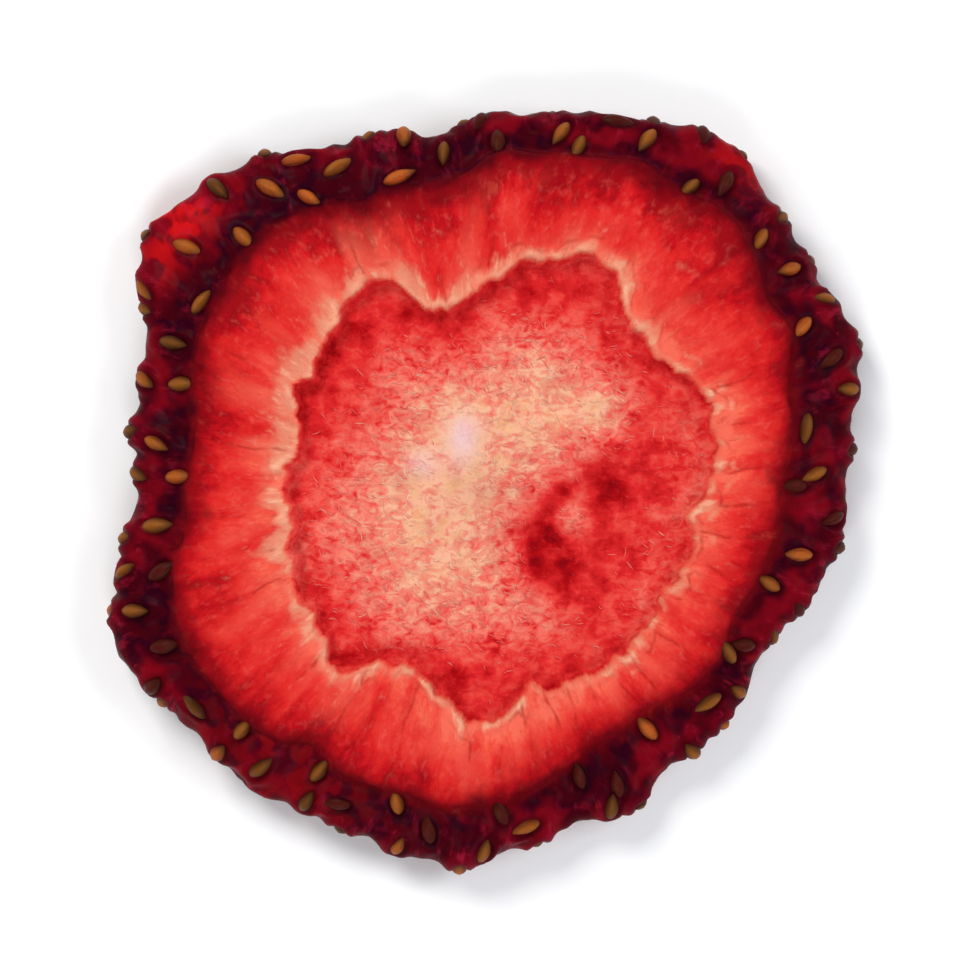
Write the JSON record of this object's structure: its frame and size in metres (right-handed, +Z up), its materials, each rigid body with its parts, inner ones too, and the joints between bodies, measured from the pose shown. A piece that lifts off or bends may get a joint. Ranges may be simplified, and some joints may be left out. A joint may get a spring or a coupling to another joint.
{
  "type": "dried strawberry slice",
  "caption": "Round cross-slice of a dried strawberry, with a pale wavy vein ring, a soft fibrous pith and a dark wrinkled skin that carries the achenes.",
  "frame": {"origin": "centre of the slice's box, on the surface that it lies on", "axes": "+Z up, out of the upper cut face; +X and +Y across the face, with +Y towards the side where the vein ring has its deep inward fold"},
  "size_m": [0.0314, 0.0317, 0.0048],
  "materials": {
    "flesh": "dried fruit flesh, satin, a little translucent",
    "achene": "hard dry seed coat, satin"
  },
  "bodies": {
    "root": {"strawberry_slice": "flesh"}
  },
  "joints": []
}
